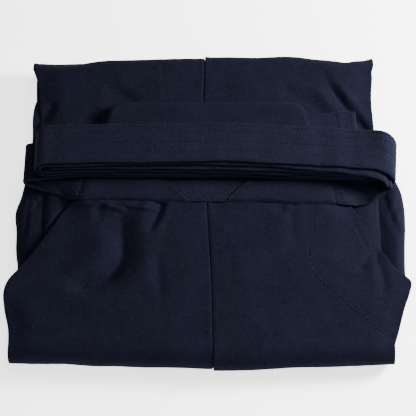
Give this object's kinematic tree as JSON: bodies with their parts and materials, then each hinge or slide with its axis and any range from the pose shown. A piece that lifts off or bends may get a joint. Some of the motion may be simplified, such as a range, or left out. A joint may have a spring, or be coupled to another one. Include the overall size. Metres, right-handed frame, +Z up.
{
  "type": "folded hakama trousers",
  "caption": "Pleated hakama trousers folded flat back side up, with a stiff back board and quilted waist ties folded in a bundle across it.",
  "frame": {"origin": "middle of the flat underside, where the folded garment lies on a surface", "axes": "+X across the garment, to the wearer's right-hand side as it lies back side up; +Y from the near fold, past the waist seam, to the far fold; +Z up through the layers"},
  "size_m": [0.381, 0.3483, 0.0578],
  "materials": {
    "navy_twill": "dark navy polyester and rayon twill, matt with a faint sheen",
    "tie_twill": "dark navy twill, quilted with five rows of stitching",
    "board_twill": "dark navy twill stretched over a stiff board"
  },
  "bodies": {
    "root": {"back_leg_left": "navy_twill", "back_leg_right": "navy_twill", "folded_layers": "navy_twill", "front_left_panel": "navy_twill", "front_right_panel": "navy_twill", "front_waistband": "navy_twill", "koshi_ita": "board_twill", "koshi_cover": "board_twill", "himo_back_center": "tie_twill", "koshi_base_binding": "tie_twill", "himo_back_left": "tie_twill", "himo_back_right": "tie_twill", "himo_front_left": "tie_twill", "himo_front_right": "tie_twill"}
  },
  "joints": []
}
